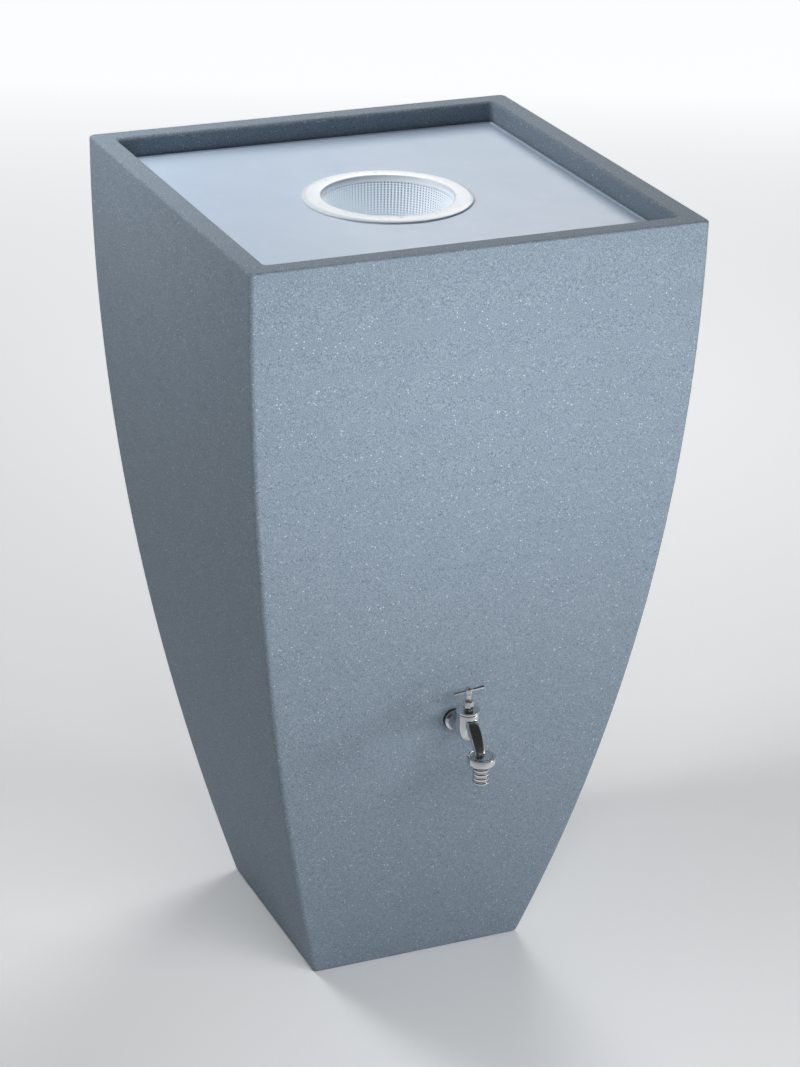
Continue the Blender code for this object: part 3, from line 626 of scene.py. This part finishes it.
def sieve_floor():
    """The basket's foot: a disc with three perforated bands, inside a rolled edge."""
    bm = bmesh.new()
    z = SIEVE_FOOT + FOOT_WALL
    # Inner and outer radius in millimetres, columns and rows of holes; columns double outwards
    bands = (
        (8, 20, MESH_COLUMNS // 4, 4),
        (22, 40, MESH_COLUMNS // 2, 6),
        (42, 66, MESH_COLUMNS, 8),
    )
    edge = None
    for inner, outer, columns, rows in bands:
        for i in range(rows + 1):
            ring = circle(bm, (inner + (outer - inner) * i / rows) * MM, z, columns)
            if edge is None:
                bm.faces.new(ring)
            elif i == 0:
                for k in range(len(edge)):
                    corners = [edge[k], edge[(k + 1) % len(edge)]]
                    corners += [ring[(2 * k + 2) % columns], ring[2 * k + 1], ring[2 * k]]
                    bm.faces.new(corners)
            else:
                lattice_band(bm, edge, ring, 0.6)
            edge = ring
    for radius, rise in ((67.5, 0), (69.5, 0.5), (70.6, 1.8), (71, 3.8)):
        ring = circle(bm, radius * MM, z + rise * MM, MESH_COLUMNS)
        loft(bm, [edge, ring], closed=False)
        edge = ring
    return thicken(finish_mesh("sieve_floor", bm, 30), FOOT_WALL)


def sieve():
    """The leaf sieve: flange, side and foot as one moulding."""
    flange = sieve_flange()
    parts = [flange, sieve_wall(), sieve_floor()]
    with bpy.context.temp_override(active_object=flange, selected_editable_objects=parts):
        bpy.ops.object.join()
    flange.name = "sieve_mesh_basket"
    return piece(flange, "sieve", "white_plastic", "sieve_basket")


# ---------------------------------------------------------------- tap

BODY_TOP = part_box("tap_body")[1].z
COLLAR_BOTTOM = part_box("tap_body")[0].z
HANDLE_ANGLE = math.radians(10)
BOWL_RADIUS = 13.9 * MM
BOWL_SHOULDER = 394 * MM
BOWL_BOTTOM = 371 * MM
CHAMBER_RADIUS = 11 * MM
SEAT_TOP = 391 * MM
CHAMBER_BOTTOM = 389 * MM
SHANK_CORE = 9.5 * MM
SHANK_THREAD_RADIUS = 10.4 * MM
SHANK_CLEARANCE_RADIUS = 10.7 * MM  # the bore of the rings and the nut on the shank
OUTLET_THREAD_RADIUS = 13.2 * MM
OUTLET_CORE = 12.2 * MM
COLLAR_TOP = 370.8 * MM
COLLAR_RADIUS = 13 * MM
THREAD_PITCH = 1.814 * MM
THREAD_DEPTH = 1.0 * MM
NOZZLE_BORE_RADIUS = 7.5 * MM
COUPLING_SHOULDER = 360.3 * MM  # where the nozzle's flange hangs in the union nut
FINE = 0.3 * MM  # the fillet of a turned edge

# Place, slope and share of the full section at each point of the spout's centre line, in
# millimetres along Y and Z
SPOUT_ROUTE = (
    ((-277, 401), (-8, -2), 1.0),
    ((-298, 388.5), (-5, -5.5), 0.94),
    ((-312, 366.5), (-2.5, -7.5), 0.84),
)
SPOUT_SECTION = (15.6, 12)
SPOUT_BORE_SECTION = (9.6, 6.4)


def rounded_outline(corner, steps):
    """A unit square with rounded corners, as a list of points."""
    outline = []
    for sx, sy, start in ((1, 1, 0), (-1, 1, 1), (-1, -1, 2), (1, -1, 3)):
        for i in range(steps):
            turn = (start + i / (steps - 1)) * math.pi / 2
            across = sx * (0.5 - corner) + corner * math.cos(turn)
            outline.append((across, sy * (0.5 - corner) + corner * math.sin(turn)))
    return outline


def swept(name, route, wide, tall, corner=0.3, along_steps=24):
    """A rounded-rectangle section swept along a Bezier route in the YZ plane, in millimetres."""
    outline = rounded_outline(corner, 5)
    bm = bmesh.new()
    rings = []
    stretches = list(zip(route, route[1:]))
    for index, ((start, leave, full), (stop, arrive, left)) in enumerate(stretches):
        start, leave, stop, arrive = (Vector(p) for p in (start, leave, stop, arrive))
        ends = (start, start + leave, stop - arrive, stop)
        for k in range(along_steps + (index == len(stretches) - 1)):
            t = k / along_steps
            weights = ((1 - t) ** 3, 3 * t * (1 - t) ** 2, 3 * t * t * (1 - t), t**3)
            slopes = (-3 * (1 - t) ** 2, 3 * (1 - t) * (1 - 3 * t), 3 * t * (2 - 3 * t), 3 * t * t)
            centre = sum((w * p for w, p in zip(weights, ends)), Vector((0, 0)))
            ahead = sum((s * p for s, p in zip(slopes, ends)), Vector((0, 0))).normalized()
            side = Vector((ahead.y, -ahead.x)) * tall
            share = full + (left - full) * t * t * (3 - 2 * t)
            ring = []
            for x, s in outline:
                y, z = centre + side * (s * share)
                ring.append(bm.verts.new(Vector((x * wide * share, y, z)) * MM))
            rings.append(ring)
    loft(bm, rings, closed=False)
    bm.faces.new(rings[0])
    bm.faces.new(rings[-1])
    return finish_mesh(name, bm)


def threaded_sleeve(name, radius, inner, low, high, segments=64):
    """A helical male thread about Z, as a sleeve with a plain bore."""
    bm = bmesh.new()
    per_pitch = 6
    count = max(int((high - low) / THREAD_PITCH * per_pitch), 4)
    rings = []
    for i in range(count + 1):
        z = low + (high - low) * i / count
        fade = min(z - low, high - z) / (0.6 * THREAD_PITCH)
        ring = []
        for k in range(segments):
            turn = 2 * math.pi * k / segments
            phase = (z / THREAD_PITCH - k / segments) % 1
            ridge = 1 - abs(2 * phase - 1)
            depth = THREAD_DEPTH * (1 - ridge * min(max(fade, 0.0), 1.0))
            reach = radius - depth
            ring.append(bm.verts.new((reach * math.cos(turn), reach * math.sin(turn), z)))
        rings.append(ring)
    rings += [circle(bm, inner, z, segments) for z in (high, low)]
    loft(bm, rings)
    return finish_mesh(name, bm, 50)


def rod(name, radius, low, high):
    """A helper cylinder about Z, from one height to another."""
    corners = [(0, low, 0), (radius, low, 0), (radius, high, 0), (0, high, 0)]
    return lathe(name, corners, segments=48)


def band(name, outer, inner, low, high, fillet):
    """A flat ring about Z, with its outer edges rounded."""
    return lathe(name, [(outer, low, fillet), (outer, high, fillet), (inner, high, 0), (inner, low, 0)])


def tap_bowl():
    """The valve chamber's outside: a straight wall over a rounded bottom."""
    bowl = [(0, BODY_TOP, 0), (BOWL_RADIUS, BODY_TOP, 0.4 * MM), (BOWL_RADIUS, 398 * MM, 0)]
    for i in range(18):
        turn = i / 18 * math.pi / 2
        height = BOWL_BOTTOM + (BOWL_SHOULDER - BOWL_BOTTOM) * (1 - math.sin(turn))
        bowl.append((BOWL_RADIUS * math.cos(turn) ** 0.9, height, 0))
    bowl.append((0, BOWL_BOTTOM, 0))
    return upright_at(lathe("tap_casting", bowl), VALVE_Y)


def tap_inlet(back):
    """The shank's core, the collar on the wall and the waisted neck. back is the collar's back."""
    corners = [
        (0, SHANK_END, 0),
        (SHANK_CORE, SHANK_END, 0.6 * MM),
        (SHANK_CORE, back, 0),
        (COLLAR_RADIUS, back, FINE),
        (COLLAR_RADIUS, back - 3 * MM, 1.5 * MM),
        (COLLAR_RADIUS - 2.6 * MM, back - 4.8 * MM, 1 * MM),
        (9.7 * MM, back - 5.4 * MM, 0.8 * MM),
        (9.6 * MM, back - 10 * MM, 5 * MM),
        (10.2 * MM, back - 18 * MM, 0),
        (10.8 * MM, VALVE_Y + 12 * MM, 0),
        (9 * MM, VALVE_Y + 2 * MM, 0),
        (0, VALVE_Y + 2 * MM, 0),
    ]
    return along_y(lathe("inlet", corners))


def tap_outlet():
    """The collar that ends the spout, with the core of its thread."""
    corners = [
        (0, COLLAR_TOP, 0),
        (OUTLET_THREAD_RADIUS, COLLAR_TOP, FINE),
        (OUTLET_THREAD_RADIUS, COLLAR_TOP - 1.4 * MM, FINE),
        (OUTLET_CORE, COLLAR_TOP - 2 * MM, 0),
        (OUTLET_CORE, COLLAR_BOTTOM, 0.4 * MM),
        (0, COLLAR_BOTTOM, 0),
    ]
    return upright_at(lathe("collar", corners), OUTLET_Y)


def tap_casting():
    """The tap's body: bowl, inlet, spout and outlet melted into one, then its two threads."""
    body = tap_bowl()
    collar_back = SEAT_Y - 3.1 * MM
    solids = [tap_inlet(collar_back), swept("spout", SPOUT_ROUTE, *SPOUT_SECTION), tap_outlet()]
    past = 5 * MM  # how far a bore's cutter goes beyond the casting
    outlet_top = COLLAR_BOTTOM + 3 * MM
    bores = [
        upright_at(rod("chamber", CHAMBER_RADIUS, CHAMBER_BOTTOM, BODY_TOP + past), VALVE_Y),
        upright_at(rod("seat", 5 * MM, TAP_Z, SEAT_TOP), VALVE_Y),
        along_y(rod("inlet_bore", 6.2 * MM, VALVE_Y - 4.5 * MM, SHANK_END + past)),
        swept("spout_bore", SPOUT_ROUTE, *SPOUT_BORE_SECTION),
        upright_at(rod("outlet", NOZZLE_BORE_RADIUS, COLLAR_BOTTOM - past, outlet_top), OUTLET_Y),
    ]
    boolean(body, "UNION", *solids, solver="MANIFOLD")
    boolean(body, "DIFFERENCE", *bores, solver="MANIFOLD")
    settle(body, *solids, *bores)
    smooth_casting(body, 0.5 * MM, 5)
    piece(body, "barrel", "chrome", "tap_body")

    low, high = collar_back + 1 * MM, SHANK_END - 1 * MM
    shank = threaded_sleeve("shank_thread", SHANK_THREAD_RADIUS, SHANK_CORE - 0.3 * MM, low, high)
    piece(along_y(shank), "barrel", "brass")
    low, high = COLLAR_BOTTOM + 0.3 * MM, COLLAR_TOP - 1.8 * MM
    inner = OUTLET_CORE - 0.3 * MM
    outlet = threaded_sleeve("outlet_thread", OUTLET_THREAD_RADIUS, inner, low, high)
    piece(upright_at(outlet, OUTLET_Y), "barrel", "chrome")


def wall_gasket():
    """The black ring that the collar presses on the wall."""
    low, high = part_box("outer_gasket")
    outer = (high.x - low.x) / 2
    ring = band("wall_gasket", outer, SHANK_CLEARANCE_RADIUS, low.y, high.y, 0.8 * MM)
    piece(along_y(ring), "barrel", "rubber", "outer_gasket")


def valve_head():
    """The bonnet with its thin flange and neck."""
    low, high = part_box("bonnet")
    flange_top = 413 * MM
    flange_bottom = 410.3 * MM
    bore_top = 412 * MM
    radius = high.x
    plug = CHAMBER_RADIUS - GAP
    neck = 4.8 * MM
    bore = 5.9 * MM
    stem_hole = 3.25 * MM
    corners = [
        (stem_hole, high.z, FINE),
        (neck, high.z, FINE),
        (neck, flange_top, 0.5 * MM),
        (radius - 1.6 * MM, flange_top, 0.2 * MM),
        (radius - 1.2 * MM, flange_top - 0.15 * MM, 0.2 * MM),
        (radius, flange_top - 0.2 * MM, 0.5 * MM),
        (radius, flange_bottom, FINE),
        (plug, flange_bottom, 0.2 * MM),
        (plug, low.z, 0.4 * MM),
        (bore, low.z, FINE),
        (bore, bore_top, 0.2 * MM),
        (stem_hole, bore_top, 0.2 * MM),
    ]
    piece(upright_at(lathe("valve_bonnet", corners), VALVE_Y), "barrel", "chrome", "bonnet")


def hexagon_nut(name, flat_half, bore, low, high, crown, both_ends=False):
    """A hexagonal nut whose corners are turned off in a shallow cone, as on a real one."""
    corner = flat_half / math.cos(math.pi / 6)
    bm = bmesh.new()
    bmesh.ops.create_cone(
        bm, cap_ends=True, segments=6, radius1=corner, radius2=corner, depth=high - low
    )
    bmesh.ops.translate(bm, verts=bm.verts, vec=(0, 0, (high + low) / 2))
    upright = [e for e in bm.edges if abs(e.verts[0].co.z - e.verts[1].co.z) > NOTHING]
    bmesh.ops.bevel(bm, geom=upright, offset=0.25 * MM, segments=3, profile=0.5, affect="EDGES")
    nut = finish_mesh(name, bm, 25)
    drop = crown * (corner - flat_half + 0.3 * MM)
    flat = flat_half - 0.3 * MM
    wide = corner + 0.05 * MM
    turned_off = [(bore, high, 0.25 * MM), (flat, high, 0), (wide, high - drop, 0)]
    turned_off += [(wide, low + drop, 0), (flat, low, 0)] if both_ends else [(wide, low, 0)]
    turned_off += [(bore, low, 0.25 * MM)]
    envelope = lathe("envelope", turned_off)
    boolean(nut, "INTERSECT", envelope)
    settle(nut, envelope)
    shade(nut, 25)
    return nut


def gland():
    """The small nut on the bonnet's neck, hollow over the packing."""
    low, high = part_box("gland_nut")
    nut = hexagon_nut("gland_hexagon", 5.8 * MM, 3.3 * MM, low.z, high.z, 0.9)
    bore = rod("gland_bore", 5.0 * MM, low.z - 2 * MM, 422 * MM)
    boolean(nut, "DIFFERENCE", bore)
    settle(nut, bore)
    shade(nut, 25)
    piece(upright_at(nut, VALVE_Y), "barrel", "chrome", "gland_nut")


def back_nut():
    """The nut inside the tank, with its washer and gasket."""
    low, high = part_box("lock_nut")
    clearance = SHANK_CLEARANCE_RADIUS
    nut = hexagon_nut("back_nut", 13.5 * MM, clearance, low.y, high.y, 0.6, both_ends=True)
    piece(along_y(nut), "barrel", "brass", "lock_nut")
    for name, slot, replaced, fillet in (
        ("back_washer", "steel", "inner_washer", 0.3 * MM),
        ("back_gasket", "rubber", "inner_gasket", 0.7 * MM),
    ):
        low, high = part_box(replaced)
        ring = band(name, 16 * MM, clearance, low.y, high.y, fillet)
        piece(along_y(ring), "barrel", slot, replaced)


def tee_grip():
    """The handle's hub and sleeve with its two arms, melted into one."""
    low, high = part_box("tee_handle")
    hub_radius = 4.9 * MM
    sleeve_radius = 3.7 * MM
    foot_radius = 4.2 * MM
    hub_low = 434.5 * MM
    bar_z = 438.3 * MM
    hub = [
        (0, high.z, 0),
        (hub_radius, high.z, 1.1 * MM),
        (hub_radius, hub_low, 0.8 * MM),
        (sleeve_radius, hub_low - 0.6 * MM, 0.6 * MM),
        (sleeve_radius, low.z + 1.4 * MM, 0.4 * MM),
        (foot_radius, low.z + 0.8 * MM, 0.2 * MM),
        (foot_radius, low.z, FINE),
        (0, low.z, 0),
    ]
    grip = lathe("tee_grip", hub, segments=72)
    # Half of the bar, which swells towards its end
    arm_corners = [
        (0, 2 * MM, 0),
        (1.9 * MM, 2 * MM, 0),
        (1.95 * MM, 8 * MM, 4 * MM),
        (2.7 * MM, 21.6 * MM, 1.1 * MM),
        (0, 21.9 * MM, 0),
    ]
    arms = []
    for side in (0, 1):
        turn = Matrix.Rotation(side * math.pi, 4, "Z") @ Matrix.Rotation(math.pi / 2, 4, "Y")
        arm = lathe(f"arm_{side}", arm_corners, segments=48)
        arms.append(place(arm, Matrix.Translation((0, 0, bar_z)) @ turn))
    bores = [
        rod("stem_bore", 3.3 * MM, low.z - 1 * MM, high.z - 3.2 * MM),
        rod("screw_bore", 1.7 * MM, high.z - 5 * MM, high.z + 1 * MM),
    ]
    boolean(grip, "UNION", *arms, solver="MANIFOLD")
    boolean(grip, "DIFFERENCE", *bores, solver="MANIFOLD")
    settle(grip, *arms, *bores)
    smooth_casting(grip, 0.2 * MM, 4)
    piece(upright_at(grip, VALVE_Y, HANDLE_ANGLE), "handle", "chrome", "tee_handle")


def cap_screw():
    """The slotted screw in the top of the handle."""
    low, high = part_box("handle_screw")
    head_radius = 3.2 * MM
    stem_radius = 1.4 * MM
    head = high.z - 1.3 * MM
    corners = [
        (0, high.z, 0),
        (1.9 * MM, high.z - 0.2 * MM, 1.2 * MM),
        (head_radius, head + 0.35 * MM, FINE),
        (head_radius, head, 0.1 * MM),
        (stem_radius, head, 0),
        (stem_radius, low.z, 0.2 * MM),
        (0, low.z, 0),
    ]
    screw = lathe("cap_screw", corners, segments=48)
    slot_size = Matrix.Diagonal((8 * MM, 0.8 * MM, 1.2 * MM, 1))
    slot_turn = Matrix.Rotation(math.radians(35), 4, "Z")
    bm = bmesh.new()
    bmesh.ops.create_cube(bm, size=1)
    slot_place = Matrix.Translation((0, 0, high.z)) @ slot_turn @ slot_size
    bmesh.ops.transform(bm, matrix=slot_place, verts=bm.verts)
    slot = finish_mesh("slot", bm)
    boolean(screw, "DIFFERENCE", slot)
    settle(screw, slot)
    shade(screw, 30)
    piece(upright_at(screw, VALVE_Y, HANDLE_ANGLE), "handle", "chrome", "handle_screw")


def union_ring(shoulder):
    """The union nut: a plain band with one groove, tapering to the shoulder that it pulls on."""
    low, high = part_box("union_nut")
    radius = high.x
    band_low = 362.8 * MM
    thread = 13.5 * MM
    mouth = 10.9 * MM
    corners = [
        (thread, high.z, 0.4 * MM),
        (radius, high.z, 0.9 * MM),
        (radius, high.z - 1.6 * MM, 0.15 * MM),
        (radius - 0.25 * MM, high.z - 1.8 * MM, 0.15 * MM),
        (radius, high.z - 2.0 * MM, 0.15 * MM),
        (radius, band_low, 0.9 * MM),
        (radius - 1.1 * MM, band_low - 2 * MM, 1.5 * MM),
        (radius - 3.5 * MM, band_low - 4.4 * MM, 2 * MM),
        (radius - 6.1 * MM, low.z, 0.4 * MM),
        (mouth, low.z, 0.2 * MM),
        (mouth, shoulder, 0.2 * MM),
        (thread, shoulder, 0.2 * MM),
    ]
    ring = lathe("union_ring", corners, segments=128)
    piece(upright_at(ring, OUTLET_Y), "union", "chrome", "union_nut")


def ribbed_nozzle(shoulder):
    """The hose nozzle: a flange over the shoulder and four ribs that narrow downwards."""
    low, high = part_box("hose_nozzle")
    ribs = 4
    pitch = 5.75 * MM
    rib, neck, flange = 10.4 * MM, 9.1 * MM, 13.1 * MM
    flange_bottom = shoulder + GAP
    corners = [
        (NOZZLE_BORE_RADIUS, high.z, 0.2 * MM),
        (flange, high.z, FINE),
        (flange, flange_bottom, FINE),
        (neck, flange_bottom, 0.2 * MM),
    ]
    for i in range(ribs):
        top = low.z + 2.25 * MM + (ribs - 1 - i) * pitch
        corners += [(neck, top + 0.5 * MM, FINE), (rib, top, FINE), (rib, top - 1.5 * MM, 1.0 * MM)]
        if i < ribs - 1:
            corners.append((neck, top - 4.3 * MM, 0.6 * MM))
    corners += [(rib - 0.8 * MM, low.z, 0.4 * MM), (NOZZLE_BORE_RADIUS, low.z, 0.4 * MM)]
    nozzle = lathe("ribbed_nozzle", corners)
    piece(upright_at(nozzle, OUTLET_Y), "hose_tail", "chrome", "hose_nozzle")


def carried_over():
    """The plain nodes that stay: each takes its slot's material."""
    slots = {row["node"]: row["material_slot"] for row in frame["record"]["subparts"]}
    for name, obj in frame["nodes"].items():
        if obj.hide_render:
            continue
        obj.data.materials.clear()
        obj.data.materials.append(SLOTS[slots[name]])


barrel_skin()
lid_plate()
sieve()
tap_casting()
wall_gasket()
valve_head()
gland()
back_nut()
tee_grip()
cap_screw()
union_ring(COUPLING_SHOULDER)
ribbed_nozzle(COUPLING_SHOULDER)
carried_over()

# ---------------------------------------------------------------- stage, light and camera


def add_floor():
    """A pale floor that brightens towards the back, like the far end of a lit studio: a painted glow,
    stronger behind and far off.
    """
    bm = bmesh.new()
    bmesh.ops.create_grid(bm, x_segments=1, y_segments=1, size=30)
    floor = finish_mesh("floor", bm)
    material, shader = new_material("floor", 0.7)
    shader.inputs["Base Color"].default_value = (0.94, 0.95, 0.96, 1)
    shader.inputs["Emission Color"].default_value = (0.97, 0.985, 1.0, 1)
    shader.inputs["Specular IOR Level"].default_value = 0.1
    here = place_socket(material)
    backwards = {0: here, 1: (0.4, 0.92, 0)}
    behind = node(material, "VectorMath", backwards, operation="DOT_PRODUCT").outputs["Value"]
    around = node(material, "VectorMath", {0: here}, operation="LENGTH").outputs["Value"]
    # Painted light: the floor's emission rises towards the back and with distance from the barrel.
    back_glow = map_range(material, behind, (0.3, 4.0), (0.04, 0.95))
    far_glow = map_range(material, around, (1.0, 4.0), (0, 0.45))
    painted_glow = node(material, "Math", {0: back_glow, 1: far_glow}, operation="MAXIMUM").outputs[0]
    link(material, painted_glow, shader.inputs["Emission Strength"])
    floor.data.materials.append(material)


def add_light(name, size, power, position, target):
    """A soft panel of size metres and power watts that shines from its position to a target."""
    data = bpy.data.lights.new(name, "AREA")
    data.shape = "RECTANGLE"
    data.size, data.size_y = size
    data.energy = power
    light = bpy.data.objects.new(name, data)
    bpy.context.scene.collection.objects.link(light)
    light.location = position
    light.rotation_mode = "QUATERNION"
    light.rotation_quaternion = (Vector(target) - Vector(position)).to_track_quat("-Z", "Y")
    light.visible_camera = False
    return light


def add_world():
    """Faint light from all round: bluish at the horizon, dimmer and warmer overhead."""
    world = bpy.data.worlds.new("studio")
    world.use_nodes = True
    nodes, links = world.node_tree.nodes, world.node_tree.links
    background = nodes["Background"]
    direction = nodes.new("ShaderNodeTexCoord")
    height = nodes.new("ShaderNodeSeparateXYZ")
    links.new(direction.outputs["Generated"], height.inputs["Vector"])
    fade = nodes.new("ShaderNodeValToRGB")
    links.new(height.outputs["Z"], fade.inputs[0])
    fade.color_ramp.elements[0].position = 0.15
    fade.color_ramp.elements[0].color = (0.86, 0.93, 1.0, 1)
    fade.color_ramp.elements[1].position = 0.6
    fade.color_ramp.elements[1].color = (0.52, 0.50, 0.48, 1)
    links.new(fade.outputs["Color"], background.inputs["Color"])
    background.inputs["Strength"].default_value = 0.07
    bpy.context.scene.world = world


def add_camera():
    """A long lens from the front left, looking down on the lid."""
    azimuth, elevation, roll = (math.radians(x) for x in (-23.688, 23.646, 1.276))
    distance = 3.9278
    target = Vector((0.02578, 0, 0.52728))
    outward = Vector((math.sin(azimuth), -math.cos(azimuth), 0))
    back = math.cos(elevation) * outward + Vector((0, 0, math.sin(elevation)))
    level = Vector((math.cos(azimuth), math.sin(azimuth), 0))
    right = math.cos(roll) * level + math.sin(roll) * back.cross(level)
    up = back.cross(right)
    data = bpy.data.cameras.new("camera")
    data.lens = 104.77
    data.sensor_width = 36
    camera = bpy.data.objects.new("camera", data)
    bpy.context.scene.collection.objects.link(camera)
    turned = Matrix((right, up, back)).transposed().to_4x4()
    camera.matrix_world = Matrix.Translation(target + back * distance) @ turned
    bpy.context.scene.camera = camera


add_floor()
# The key gives the front its falloff without a highlight on the tap. The panel does the reverse.
key = add_light("key", (0.9, 0.25), 8.5, (0, -1.1, 0.93), (0, -0.28, 0.75))
key.visible_glossy = False
panel = add_light("panel", (1.2, 0.8), 1.8, (0.5, -2.4, 0.6), (0, -0.3, 0.4))
panel.visible_diffuse = False
add_light("right", (0.35, 0.35), 9, (1.6, -1.25, 0.42), (0, -0.25, 0.45))
add_light("top", (1.2, 1.2), 30, (1.1, 1.6, 2.35), (0, 0, 1))
add_light("back_left", (0.4, 0.4), 10, (-0.8, 0.4, 1.75), (-0.3, 0.2, 0.95))
add_world()
add_camera()
bpy.context.scene.view_settings.view_transform = "Standard"
